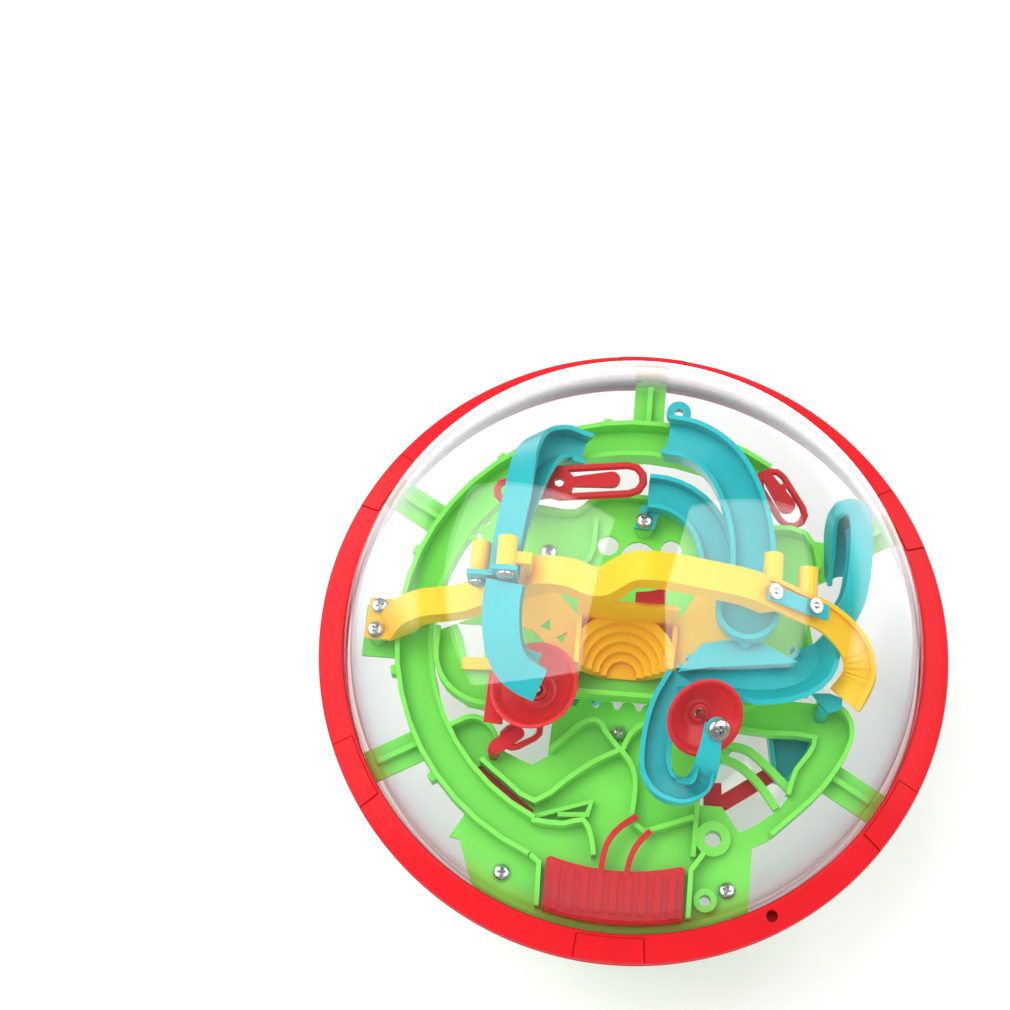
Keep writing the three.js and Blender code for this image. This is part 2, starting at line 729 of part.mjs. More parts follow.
const funnelWalls = [
  slab([[-16.4, -13.6], [-15, -13.6], [-15, 2], [-16.4, 2]], FUNNEL_LOW, 29),
  slab([[11.6, -12.6], [13, -12.6], [13, 2], [11.6, 2]], FUNNEL_LOW, 25),
  slab([[-16.4, 0.6], [13, 0.6], [12, 2], [-15.4, 2]], 12, 41),
  slab([[-50, -10.6], [-16, -8.6], [-16, -12.4], [-49.6, -14.2]], 12, 13.4),
];
const funnelWings = [
  slab(
    [[-15.6, 1.8], [-15.6, -12], [-23, -8.6], [-29, -3], [-34.4, -1.4], [-34.6, 12], [-24, 10.4]],
    20,
    21.4,
  ),
  slab([[12.2, -12.6], [12.2, 1.8], [19, 13.6], [33.4, 11], [33.8, -2], [22, -7]], 20, 21.4),
];
const funnelWindows = [
  slab([[-27.6, -1.6], [-24.2, -2.6], [-24.6, 1]], 18, 24),
  slab([[-22.4, -4.6], [-19, -2.6], [-20.4, -6.2]], 18, 24),
];
const funnelSolid = join(bowlHalf, funnelWalls, funnelWings);
piece("stepped_funnel", cut(funnelSolid, funnelWindows), YELLOW);

// ---- rails --------------------------------------------------------------------------------------
const railLeftTop = [
  [-19.6, 56.4, 12.6, 0],
  [-26, 57.4, 15, -6],
  [-32, 54.4, 19.6, -22],
  [-36, 48, 26, -46],
  [-38.4, 39, 33.6, -68],
  [-39.8, 29, 41, -84],
  [-40.8, 17.6, 48.8, -89],
  [-41.2, 8.6, 52.6, -89],
  [-41.4, 2.2, 53.2, -89],
];
const railLeftFoot = [
  [-41.6, 1.8, 53.2, -89],
  [-42.2, -4, 51.6, -88],
  [-41.8, -11.4, 48.4, -86],
  [-40, -18, 43.4, -80],
  [-36.2, -22.6, 38.8, -68],
  [-31.4, -24.6, 35.6, -56],
  [-28, -25, 34, -48],
];
const CLAMP_Y = 1.6; // front face of the clamp plate of the left rail
const clampPlate = (x0, x1, z0, z1) => {
  const y = CLAMP_Y;
  return slab([[x0, y], [x1, y], [x1, y + 1.4], [x0, y + 1.4]], z0, z1);
};
const railLeftBody = join(
  sweep(channel(10.2, 8), smooth(railLeftTop, 22)),
  sweep(channel(10.2, 10.4), smooth(railLeftFoot, 16)),
  clampPlate(-47.6, -33.2, 50, 58),
  clampPlate(-47.6, -40, 47.6, 51),
  clampPlate(-40.4, -33.2, 57, 64.2),
);
const clampHoles = [POSTS[0], POSTS[1]].map(([x, , z]) => {
  const hole = rod(0, 0, 1.4, -6, 6, 8);
  hole.rotateX(Math.PI / 2);
  hole.translate(x, CLAMP_Y, z);
  return hole;
});
piece("rail_left", cut(railLeftBody, clampHoles), TEAL);

const railRightPath = [
  [6.6, 64.6, 8, 0],
  [13, 63.4, 9.4, 4],
  [19.6, 59, 13, 8],
  [25.2, 51.6, 18, 8],
  [29.2, 41.7, 23.6, 6],
  [31.8, 31.2, 28.4, 2],
  [33, 20.4, 32, 0],
  [33, 11, 33.6, 0],
  [32.6, 5.6, 33.8, 0],
];
const RIGHT_CUP = [32.4, 3.4, 9.2, 33.8]; // x, y, radius and floor height of the round turn
const turnEdge = (inset, from, to) => arc(RIGHT_CUP[0], RIGHT_CUP[1], RIGHT_CUP[2] - inset, from, to, 14);
const cupFloor = slab([...turnEdge(0, 180, 360), [41.6, 6.4], [23.2, 6.4]], RIGHT_CUP[3], 35.2);
const cupWall = fence(turnEdge(0.7, 172, 368), 0, RIGHT_CUP[3], RIGHT_CUP[3] + 5.6);
const eyelet = cut(rod(9.2, 73.4, 3.8, 8, 11, 16), rod(9.2, 73.4, 1.5, 6, 13, 10));
const eyeletArm = slab([[6.6, 69.2], [12, 68.6], [12.4, 72], [6.4, 72]], 8, 10);
const pinHole = lean(rod(0, 0, 1.3, 6, 22, 8), RIGHT_AXIS, RIGHT_SEAT);
const shelfOutline = [[13.6, -15], [20, -6], [27, -4.4], [38, -4.4], [48, -9.4], [34, -11.4], [22, -13]];
const railShelf = slab(shelfOutline, 30.4, 31.8);
const shelfDrop = slab([[16, -10.6], [46, -9.6], [46, -8.2], [16, -9.2]], 26, 31);
const shelfPost = rod(32.4, -5, 2, 31, 34.6, 10);
// The branch has a low inner wall and a wide outer wall that flares outwards.
const branchSection = [
  [-4.6, 0],
  [3.9, 0],
  [8.8, 6.2],
  [7.4, 6.8],
  [3.2, 1.4],
  [-3.2, 1.4],
  [-3.2, 5],
  [-4.6, 5],
];
const railBranchPath = [
  [13.6, -15.4, 25, 0, 0.68],
  [24, -14.2, 24.8, 0, 0.7],
  [36, -13.8, 24.4, 0, 1],
  [45, -11.8, 23.2, 0, 1],
  [50, -8.2, 21.2, 0, 1],
  [51.4, -4.4, 19.9, 0, 1],
  [50.4, -1.8, 19.2, 0, 1],
];
const railHookPath = [
  [15.6, -15.2, 27, 0],
  [11.2, -24, 24.4, 0],
  [9.2, -34, 22, 0],
  [9.6, -42.6, 21, 0],
  [13.4, -47.2, 22.2, 0, 0.95],
  [18.8, -48, 24.6, 0, 0.86],
  [22.6, -45.6, 28.6, 0, 0.72],
  [23.8, -41.6, 33, 0, 0.6],
];
const railTip = [
  [20.4, -47.4, 26, 0, 1.5],
  [22.8, -44.6, 30.6, 0, 1.6],
  [23.7, -40.6, 36, 0, 1.5],
  [24.2, -35.6, 39.8, 0, 1.2],
  [24.3, -31.4, 41, 0, 1],
];
const tipEye = lean(rod(0, 0, 3.2, 15.4, 17.3, 14), RIGHT_AXIS, RIGHT_SEAT);
const railRight = cut(
  join(
    sweep(channel(13, 7), smooth(railRightPath, 18)),
    cupFloor,
    cupWall,
    eyelet,
    eyeletArm,
    railShelf,
    shelfDrop,
    shelfPost,
    sweep(branchSection, smooth(railBranchPath, 15)),
    sweep(channel(9, 6), smooth(railHookPath, 22)),
    sweep(bar(4.6, 0, 1.6), smooth(railTip, 10)),
    tipEye,
  ),
  pinHole,
);
piece("rail_right", railRight, TEAL);

const railInnerPath = [
  [1.5, 43, 17.4],
  [6.4, 42.8, 17.2],
  [12.4, 40.8, 17],
  [17.8, 36.6, 16.8],
  [21.6, 30.6, 16.6],
  [23.6, 24, 16.4],
  [24, 17.4, 16.2],
];
const innerTab = slab([[-2, 32.4], [4, 32.4], [6, 40], [0, 40]], 16.2, 17.6);
const railInner = cut(
  join(sweep(channel(10.8, 5.4), smooth(railInnerPath, 12)), innerTab),
  rod(1, 34.8, SCREW_HOLE_R, 12, 22, 10),
);
piece("rail_inner", railInner, TEAL);

const railArchPath = [
  [60.6, 25.4, 9, 0],
  [59.6, 31, 15, 4],
  [58.6, 36, 20.6, 18],
  [59.8, 39.6, 25, 46],
  [63.6, 40, 27.6, 72],
  [66.6, 36.4, 28.8, 84],
  [67.6, 28, 29.2, 88],
  [67.4, 20, 27.4, 86],
  [66.4, 12.6, 23.6, 80],
  [64.6, 8.6, 20.4, 76],
];
piece("rail_arch", sweep(channel(9, 6.6), smooth(railArchPath, 20)), TEAL);

const catchBox = cut(
  slab([[42.6, -22], [57.4, -22], [53, -33], [49, -36.6], [45, -36]], -10, -3),
  slab([[44.2, -23.4], [55.4, -23.4], [51.8, -32.2], [48.4, -35], [46.2, -34.6]], -8.6, -1),
);
piece("catch_box", catchBox, TEAL);

// ---- red cups that turn on their screws -----------------------------------------------------------
const CUP_PROFILE = [
  [1.5, 0],
  [5, 0],
  [10.4, 4.6],
  [12, 7.6],
  [10.8, 7.9],
  [9.2, 5.4],
  [4.6, 1.6],
  [2.8, 1.6],
  [2.8, 3.2],
  [1.5, 3.2],
];
function cup(scale, at, axis) {
  const body = turned(CUP_PROFILE.map(([r, z]) => [r < 3 ? r : r * scale, z]), 20);
  return lean(body, axis, at);
}
piece("cup_right", cup(0.98, RIGHT_SEAT, RIGHT_AXIS), RED);
piece("cup_left", cup(1.12, LEFT_SEAT, LEFT_AXIS), RED);

const cupBracket = join(
  slab([[-41.6, -30.6], [-36, -31], [-35.6, -17.4], [-41.2, -15.6]], 16.4, 17.8),
  slab([[-37, -24], [-24, -24], [-24, -18.6], [-37, -18.6]], 16.4, 17.8),
);
piece("cup_bracket", cupBracket, RED);


// ---- red loops, bars and tongue -------------------------------------------------------------------
const backHub = [-25.4, 43.8, 20.8];
const loopBack = cut(
  join(
    wireLoop([-40.8, 41, 18.4], backHub, 3.3, 1.1),
    wireLoop(backHub, [-4.6, 46.2, 22], 4.5, 1.2),
    rod(backHub[0], backHub[1], 4.6, 19.7, 21.9, 12),
    paddle([-24, 44, 1.3], [-9.6, 46, 2.5], 20.4, 21.8),
    paddle([-28, 42.2, 1.3], [-37.4, 36, 1.6], 18.7, 20.3),
    rod(-37.4, 35.6, 1.5, TRAY_FLOOR + 0.3, 19, 8),
  ),
  rod(backHub[0], backHub[1], 1.5, 16, 30, 8),
);
piece("loop_back", loopBack, DEEP_RED);

const loopSide = join(
  wireLoop([39.2, 53, 9.4], [45.4, 43.6, 9.4], 4, 1.1),
  paddle([37.4, 55, 1.6], [43.8, 46.2, 2.7], 8.6, 10.2),
  slab([[41.4, 52.4], [44.4, 54.2], [43.2, 50.4]], 8.7, 10.1),
  rod(35.7, 55.2, 1.4, FLOOR + 0.3, 9.6, 8),
);
piece("loop_side", loopSide, DEEP_RED);

const loopFront = join(
  wireLoop([-33, -32.8, 9.4], [-28.2, -29.8, 9.4], 3.1, 1),
  paddle([-37.6, -36, 2.2], [-31.4, -31.4, 1.8], 8.6, 10.2),
  rod(-38.6, -36.8, 1.6, FLOOR + 0.3, 9, 8),
);
piece("loop_front", loopFront, DEEP_RED);

piece("slot_bar", sweep(bar(4.4, 0, 1.4), straight([[-44.6, -39.6, -3.4], [-23, -55, -3.4]])), DEEP_RED);
const forkBar = join(
  sweep(bar(4.6, 0, 1.4), straight([[22, -50.4, -5], [44, -34.6, -5]])),
  sweep(bar(5.4, 0, 1.4), straight([[27, -38.6, -5], [27.6, -47.6, -5]])),
);
piece("fork_bar", forkBar, DEEP_RED);
piece("edge_bar", sweep(bar(1.8, 0, 1.4), straight([[-59.4, -13, -5], [-55.2, -27.4, -5]])), DEEP_RED);

const gate = join(
  slab([[0, 1.2], [8.6, 1.2], [8.6, 6], [4, 4.6], [0, 4]], 43.4, 44.8),
  slab([[3, 2.4], [5.6, 2.4], [5.6, 4], [3, 4]], TRAY_FLOOR + 0.3, 44),
);
piece("gate", gate, DEEP_RED);

// ---- marble ---------------------------------------------------------------------------------------
const trackMiddle = (TRACK_IN + TRACK_OUT) / 2;
const marble = piece("marble", new THREE.IcosahedronGeometry(MARBLE_R, 3), STEEL, 0.12, 1);
marble.position.set(...onCircle(MARBLE_ANGLE, trackMiddle), FLOOR + MARBLE_R + 0.08);

// ---- lower half of the maze -------------------------------------------------------------------------
const lowerOutline = [[-34, 2], [36, 2], [38, 24], [30, 44], [0, 50], [-28, 44], [-36, 26]];
const lowerRim = [[-33, 3], [35, 3], [37, 24], [29.4, 43.2], [0, 49], [-27.4, 43.2], [-35, 26], [-33.2, 6]];
// Three posts hang the lower tray from the centre tray, a stalk with a foot carries the lower cup.
const lowerPosts = [[-31, 9], [30, 4], [-4, 42.2]].map(([x, y]) => rod(x, y, 2, -15, TRAY_LOW - 0.3, 8));
const LOWER_CUP = [-22, 12, -38];
const lowerStalk = join(
  rod(LOWER_CUP[0], LOWER_CUP[1], 1.1, LOWER_CUP[2] - 1, -15, 8),
  rod(LOWER_CUP[0], LOWER_CUP[1], 3, LOWER_CUP[2] - 2, LOWER_CUP[2] - 0.4, 12),
);
const railLeg = rod(24, 9, 1.6, -29.6, -15, 8);
const lowerTray = join(
  slab(lowerOutline, -16, -14.6, [[[-15, 27], [-15, 41], [15, 41], [15, 27]]]),
  fence(lowerRim, 0, -22, -14.8),
  fence([[-20, 10], [-6, 20], [10, 16], [24, 22]], 8, -20, -15.8),
  lowerPosts,
  lowerStalk,
  railLeg,
);
piece("lower_tray", lowerTray, GREEN);
const lowerBridgePath = [
  [-34, 30, -22.9],
  [-24, 28, -40],
  [-10, 26, -52],
  [6, 26, -54],
  [20, 28, -46],
  [32, 30, -32],
  [35, 31, -22.9],
];
piece("lower_bridge", sweep(bar(8.4, -0.8, 0.8), smooth(lowerBridgePath, 18)), YELLOW);
const lowerRailPath = [
  [-18, -19, -8, 0],
  [-12, -12, -12, 0],
  [-2, -6, -18, 0],
  [14, -3.4, -29, 0],
  [20, 10, -36, 0],
  [8, 18, -40, 0],
  [-10, 14, -42, 0],
];
piece("lower_rail", sweep(channel(9, 5), smooth(lowerRailPath, 18)), TEAL);
piece("lower_cup", cup(1, new THREE.Vector3(...LOWER_CUP), new THREE.Vector3(0, 0, 1)), RED);

// ---- screws -----------------------------------------------------------------------------------------
// Pan-head screw: the head sits at the given point and faces along the given direction.
function screw(name, [x, y, z], facing, length, scale = 1) {
  const r = SCREW_HEAD_R * scale;
  const profile = [
    [0, -length],
    [SCREW_SHANK_R * Math.min(scale, 1), -length],
    [SCREW_SHANK_R * Math.min(scale, 1), 0],
    [r, 0],
    [r * 0.92, SCREW_HEAD_H * 0.6],
    [0, SCREW_HEAD_H],
  ];
  const direction = new THREE.Vector3(...facing).normalize();
  piece(name, lean(turned(profile, 8), direction, new THREE.Vector3(x, y, z)), STEEL, 0.2, 1);
}

screw("screw_board_left", [-33, -71.4, FLOOR + 0.1], [0, 0, 1], 4);
screw("screw_board_right", [32.8, -71.2, FLOOR + 0.1], [0, 0, 1], 4);
screw("screw_board_middle", [-2, -27, FLOOR + 0.1], [0, 0, 1], 4);
screw("screw_tray", [-27.1, 25.2, TRAY_FLOOR + 0.1], [0, 0, 1], 5);
screw("screw_inner_rail", [1, 34.8, 17.7], [0, 0, 1], 5);
screw("screw_bracket_back", [...BRACKET_SCREWS[0], 10.3], [0, 0, 1], 4);
screw("screw_bracket_front", [...BRACKET_SCREWS[1], 10.3], [0, 0, 1], 4);

// The right clamp is a flat strap that lies on the bridge and hooks the right rail to it.
const strap = sweep(bar(4.4, 0, 1.4), straight([[36.6, 4.2, 53.4], [46.7, 3.1, 47], [54.4, 2.8, 41.9]]));
piece("clamp_right", strap, TEAL);

// A small teal foot carries the right end of the bridge above the board.
const footRight = join(
  slab([[53.6, -13.6], [58.8, -13.2], [62.6, -14.4], [62.6, -17.6], [58.6, -19.2]], 13.4, 14.8),
  rod(57.6, -17, 2, FLOOR + 0.1, 14, 10),
);
piece("foot_right", footRight, TEAL);

screw("screw_clamp_left_1", [POSTS[0][0], CLAMP_Y - 0.1, POSTS[0][2]], [0, -1, 0], 5);
screw("screw_clamp_left_2", [POSTS[1][0], CLAMP_Y - 0.1, POSTS[1][2]], [0, -1, 0], 5);
screw("screw_clamp_right_1", [38.4, 4, 54.6], [0.53, 0, 0.85], 0.4, 0.88);
screw("screw_clamp_right_2", [50.4, 3.1, 46.9], [0.53, 0, 0.85], 0.4, 0.88);

const rightHead = RIGHT_SEAT.clone().addScaledVector(RIGHT_AXIS, 17.4);
screw("screw_cup_right", rightHead.toArray(), RIGHT_AXIS.toArray(), 15.8, 1.25);
const leftHead = LEFT_SEAT.clone().addScaledVector(LEFT_AXIS, -0.6);
screw("screw_cup_left", leftHead.toArray(), LEFT_AXIS.clone().negate().toArray(), 5);

PAD_ANGLES.forEach((angle, i) => {
  screw(`screw_ring_${i + 1}`, [...onCircle(angle, RING_SCREW_R), -2.3], [0, 0, -1], 4, 0.8);
});

export default root;
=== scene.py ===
import json
import math

import bmesh
import bpy
import numpy as np
from mathutils import Matrix, Vector


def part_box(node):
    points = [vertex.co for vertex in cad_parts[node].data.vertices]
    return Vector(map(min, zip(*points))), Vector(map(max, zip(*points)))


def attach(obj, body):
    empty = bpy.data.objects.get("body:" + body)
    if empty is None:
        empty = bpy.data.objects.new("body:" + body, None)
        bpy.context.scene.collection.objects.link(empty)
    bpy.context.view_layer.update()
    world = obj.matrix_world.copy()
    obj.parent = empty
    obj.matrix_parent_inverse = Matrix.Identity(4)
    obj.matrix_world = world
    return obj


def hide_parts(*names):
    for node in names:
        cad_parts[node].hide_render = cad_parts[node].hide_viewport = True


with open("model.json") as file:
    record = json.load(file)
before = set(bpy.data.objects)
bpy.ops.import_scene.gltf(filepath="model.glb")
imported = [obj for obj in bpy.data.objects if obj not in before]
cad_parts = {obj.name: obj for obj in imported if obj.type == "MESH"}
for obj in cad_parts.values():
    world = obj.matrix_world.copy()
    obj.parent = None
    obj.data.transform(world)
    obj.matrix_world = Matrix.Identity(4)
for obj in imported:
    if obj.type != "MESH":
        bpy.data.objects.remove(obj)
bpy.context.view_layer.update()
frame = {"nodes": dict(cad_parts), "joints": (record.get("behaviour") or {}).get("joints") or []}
MM = 0.001
NODES = frame["nodes"]
JOINTS = {j["name"]: j for j in frame["joints"]}
SQUARE = ((-1, -1), (1, -1), (1, 1), (-1, 1))  # corners, counter-clockwise
UP = Vector((0, 0, 1))

# ---- colours, linear RGB --------------------------------------------------------------------------
RED = (0.76, 0.007, 0.015)
CUP_RED = (0.72, 0.008, 0.014)
DEEP_RED = (0.60, 0.007, 0.012)
GREEN = (0.21, 0.81, 0.09)
TEAL = (0.004, 0.50, 0.54)
YELLOW = (0.96, 0.60, 0.006)
# painted shade: the colour the yellow parts take in their corners and creases
YELLOW_PAINTED_SHADE = (0.74, 0.33, 0.004)
# painted glow: orange emission that lifts and reddens the yellow parts' shaded sides
YELLOW_PAINTED_GLOW = (1.0, 0.16, 0.0)
STEEL = (0.66, 0.66, 0.65)
WHITE = (1.0, 1.0, 1.0, 1.0)
PAPER_DARK = (0.90, 0.90, 0.90, 1.0)
PAPER_LIGHT = (0.94, 0.94, 0.94, 1.0)
DOME_FRONT_TINT = (0.985, 0.985, 0.985, 1.0)
DOME_EDGE_TINT = (0.86, 0.88, 0.90, 1.0)
DOME_SHADOW_TINT = (0.96, 0.97, 0.975, 1.0)


# ---- node material helpers ------------------------------------------------------------------------
class Nodes:
    """A new material, with short calls that add shader nodes and return the socket they give."""

    def __init__(self, name):
        self.material = bpy.data.materials.new(name)
        self.material.use_nodes = True
        self.tree = self.material.node_tree
        self.tree.nodes.clear()
        self.out = self.tree.nodes.new("ShaderNodeOutputMaterial")

    def add(self, kind, inputs=None, **settings):
        node = self.tree.nodes.new(kind)
        for key, value in settings.items():
            setattr(node, key, value)
        for key, value in (inputs or {}).items():
            if isinstance(value, bpy.types.NodeSocket):
                self.tree.links.new(value, node.inputs[key])
            else:
                node.inputs[key].default_value = value
        return node

    def place(self):
        return self.add("ShaderNodeTexCoord").outputs["Object"]

    def ray_is(self, kind):
        return self.add("ShaderNodeLightPath").outputs[f"Is {kind} Ray"]

    def noise(self, place, scale, detail, distortion=0.0):
        inputs = {"Vector": place, "Scale": scale, "Detail": detail, "Distortion": distortion}
        return self.add("ShaderNodeTexNoise", inputs).outputs["Fac"]

    def remap(self, value, source=(0.0, 1.0), result=(0.0, 1.0)):
        inputs = {"Value": value, "From Min": source[0], "From Max": source[1]}
        inputs.update({"To Min": result[0], "To Max": result[1]})
        return self.add("ShaderNodeMapRange", inputs).outputs["Result"]

    def maths(self, operation, *values):
        return self.add("ShaderNodeMath", dict(enumerate(values)), operation=operation).outputs["Value"]

    def blend(self, factor, first, second):
        inputs = {"Factor": factor, "A": first, "B": second}
        return self.add("ShaderNodeMix", inputs, data_type="RGBA").outputs["Result"]

    def bump(self, height, strength, distance, under=None):
        inputs = {"Height": height, "Strength": strength, "Distance": distance}
        if under:
            inputs["Normal"] = under
        return self.add("ShaderNodeBump", inputs).outputs["Normal"]

    def see_through(self, colour):
        return self.add("ShaderNodeBsdfTransparent", {"Color": colour}).outputs["BSDF"]

    def light(self, strength):
        return self.add("ShaderNodeEmission", {"Color": WHITE, "Strength": strength}).outputs["Emission"]

    def plastic_or_metal(self, inputs):
        return self.add("ShaderNodeBsdfPrincipled", inputs).outputs["BSDF"]

    def either(self, factor, first, second):
        return self.add("ShaderNodeMixShader", {0: factor, 1: first, 2: second}).outputs["Shader"]

    def finish(self, surface):
        self.tree.links.new(surface, self.out.inputs["Surface"])
        return self.material


def shade(rgb, factor):
    return (*(min(c * factor, 1.0) for c in rgb), 1.0)


# Noise scales count features per metre; bump distances and reaches are in metres.
CLOUD_SCALE = 55.0
PEBBLE_SCALE = 2600.0
PEBBLE_STRENGTH = 0.05
PEBBLE_DEPTH = 0.00006
SMEAR_SCALE = 240.0
SMEAR_STRENGTH = 0.06
SMEAR_DEPTH = 0.0002
# reach of the painted shade that darkens the plastics' corners
PAINTED_SHADE_REACH = 0.009
PLASTIC_IOR = 1.49


def moulded_plastic(name, rgb, roughness, painted_glow=0.0, painted_shade_rgb=None, painted_glow_rgb=None, sheen=0.4):
    """Injection-moulded plastic: flow clouding, a fine pebble grain, painted shade in the corners and an
    optional painted glow.
    """
    n = Nodes(name)
    place = n.place()
    cloud = n.noise(place, CLOUD_SCALE, 3.0, 0.8)
    pebble = n.noise(place, PEBBLE_SCALE, 2.0)
    smear = n.noise(place, SMEAR_SCALE, 4.0)
    open_colour = n.blend(cloud, shade(rgb, 0.88), shade(rgb, 1.10))
    # painted shade: an ambient-occlusion mask darkens corners, creases and gaps between parts towards this
    # painted shade colour
    painted_shade_colour = (*painted_shade_rgb, 1.0) if painted_shade_rgb else shade(rgb, 0.58)
    openness = n.add("ShaderNodeAmbientOcclusion", {"Distance": PAINTED_SHADE_REACH}, samples=4).outputs["AO"]
    colour = n.blend(n.remap(openness, source=(0.15, 0.85)), painted_shade_colour, open_colour)
    pebbled = n.bump(pebble, PEBBLE_STRENGTH, PEBBLE_DEPTH)
    return n.finish(
        n.plastic_or_metal(
            {
                "Base Color": colour,
                "Roughness": n.remap(smear, result=(roughness - 0.07, roughness + 0.09)),
                "Normal": n.bump(smear, SMEAR_STRENGTH, SMEAR_DEPTH, under=pebbled),
                "IOR": PLASTIC_IOR,
                "Specular IOR Level": sheen,
                "Coat Weight": 0.15 * sheen,
                "Coat Roughness": 0.10,
                # painted glow: the plastic gives off light of its own, though it is no lamp, to lift its
                # shaded sides
                "Emission Color": (*(painted_glow_rgb or rgb), 1.0),
                "Emission Strength": painted_glow,
            }
        )
    )


RIPPLE_SCALE = 26.0
RIPPLE_STRENGTH = 0.05
RIPPLE_DEPTH = 0.0008
SCRATCH_SCALE = 900.0
SCRATCH_STRENGTH = 0.03
SCRATCH_DEPTH = 0.00003
MIRROR_FRONT = 0.038  # share of light that the dome reflects where it is seen straight on
MIRROR_GAIN = 0.85  # what is added to that share at its outline
MIRROR_POWER = 7.0
TINT_POWER = 2.5


def clear_plastic(name):
    """Thin clear shell: straight see-through, reflections that grow towards the rim, faint scratches."""
    n = Nodes(name)
    place = n.place()
    ripple = n.noise(place, RIPPLE_SCALE, 2.0)
    scratch = n.noise(place, SCRATCH_SCALE, 3.0, 2.0)
    rippled = n.bump(ripple, RIPPLE_STRENGTH, RIPPLE_DEPTH)
    slant = n.add("ShaderNodeLayerWeight", {"Blend": 0.5}).outputs["Facing"]
    mirror = n.maths("MULTIPLY_ADD", n.maths("POWER", slant, MIRROR_POWER), MIRROR_GAIN, MIRROR_FRONT)
    tint = n.blend(n.maths("POWER", slant, TINT_POWER), DOME_FRONT_TINT, DOME_EDGE_TINT)
    gloss = n.add(
        "ShaderNodeBsdfGlossy",
        {
            "Color": WHITE,
            "Roughness": n.remap(scratch, result=(0.012, 0.05)),
            "Normal": n.bump(scratch, SCRATCH_STRENGTH, SCRATCH_DEPTH, under=rippled),
        },
    )
    surface = n.either(mirror, n.see_through(tint), gloss.outputs["BSDF"])
    return n.finish(n.either(n.ray_is("Shadow"), surface, n.see_through(DOME_SHADOW_TINT)))


MARK_SCALE = 1500.0
MARK_STRENGTH = 0.08
MARK_DEPTH = 0.00002
STAIN_SCALE = 300.0


def polished_steel(name, roughness):
    """Plated steel with fine turning marks and small stains."""
    n = Nodes(name)
    place = n.place()
    mark = n.noise(place, MARK_SCALE, 4.0)
    stain = n.noise(place, STAIN_SCALE, 2.0)
    return n.finish(
        n.plastic_or_metal(
            {
                "Base Color": n.blend(stain, shade(STEEL, 0.8), shade(STEEL, 1.25)),
                "Metallic": 1.0,
                "Roughness": n.remap(mark, result=(roughness * 0.6, roughness * 1.6)),
                "Normal": n.bump(mark, MARK_STRENGTH, MARK_DEPTH),
            }
        )
    )


MAT = {
    # the glow values are painted light that brightens each plastic where it lies in shade
    "ring": moulded_plastic("ring_red", RED, 0.34, sheen=0.22),
    "cup": moulded_plastic("cup_red", CUP_RED, 0.28, painted_glow=0.05),
    "deep": moulded_plastic("deep_red", DEEP_RED, 0.32, painted_glow=0.06),
    "green": moulded_plastic("maze_green", GREEN, 0.36, painted_glow=0.06),
    "teal": moulded_plastic("rail_teal", TEAL, 0.33, painted_glow=0.03),
    "yellow": moulded_plastic("bridge_yellow", YELLOW, 0.34, 0.10, YELLOW_PAINTED_SHADE, YELLOW_PAINTED_GLOW),
    "clear": clear_plastic("clear_dome"),
    "steel": polished_steel("screw_steel", 0.24),
    "ball": polished_steel("ball_steel", 0.05),
}


# ---- mesh helpers ---------------------------------------------------------------------------------
def add_object(name, data):
    thing = bpy.data.objects.new(name, data)
    bpy.context.scene.collection.objects.link(thing)
    return thing


def mesh_of(bm, name):
    mesh = bpy.data.meshes.new(name)
    bm.to_mesh(mesh)
    bm.free()
    return mesh


def place_piece(name, mesh, material, body, node, matrix=None):
    """Puts a finished mesh in the scene as the piece that stands for a CAD node."""
    piece = add_object(name, mesh)
    if matrix is not None:
        piece.matrix_world = matrix
    mesh.materials.clear()
    mesh.materials.append(MAT[material])
    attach(piece, body)
    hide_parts(node)
    return piece


def upright_to(axis):
    """The turn that brings +Z onto the axis."""
    return UP.rotation_difference(axis).to_matrix().to_4x4()


def smooth_by_angle(mesh, degrees):
    for face in mesh.polygons:
        face.use_smooth = True
    mesh.set_sharp_from_angle(angle=math.radians(degrees))


def lathe_mesh(name, profile, sides, angle=38.0):
    """A closed [radius, height] profile in metres turned about Z, with edges above the angle kept sharp."""
    bm = bmesh.new()
    rings = []
    for r, z in profile:
        if r < 1e-7:
            rings.append([bm.verts.new((0, 0, z))])
        else:
            turns = [2 * math.pi * i / sides for i in range(sides)]
            rings.append([bm.verts.new((r * math.cos(t), r * math.sin(t), z)) for t in turns])
    count = len(rings)
    for k in range(count):
        a, b = rings[k], rings[(k + 1) % count]
        if len(a) == 1 and len(b) == 1:
            continue
        for i in range(sides):
            j = (i + 1) % sides
            if len(a) == 1:
                bm.faces.new((a[0], b[j], b[i]))
            elif len(b) == 1:
                bm.faces.new((a[i], a[j], b[0]))
            else:
                bm.faces.new((a[i], a[j], b[j], b[i]))
    bmesh.ops.recalc_face_normals(bm, faces=bm.faces)
    mesh = mesh_of(bm, name)
    smooth_by_angle(mesh, angle)
    return mesh


def rounded(points, radius, steps):
    """Rounds the corners of a closed profile of (r, z) points."""
    out = []
    count = len(points)
    for i in range(count):
        p = Vector(points[i])
        before = Vector(points[i - 1])
        after = Vector(points[(i + 1) % count])
        reach = min(radius, (before - p).length * 0.45, (after - p).length * 0.45)
        a = p + (before - p).normalized() * reach
        b = p + (after - p).normalized() * reach
        for s in range(steps + 1):
            t = s / steps
            q = a * (1 - t) ** 2 + p * 2 * t * (1 - t) + b * t ** 2
            out.append((q.x, q.y))
    return out


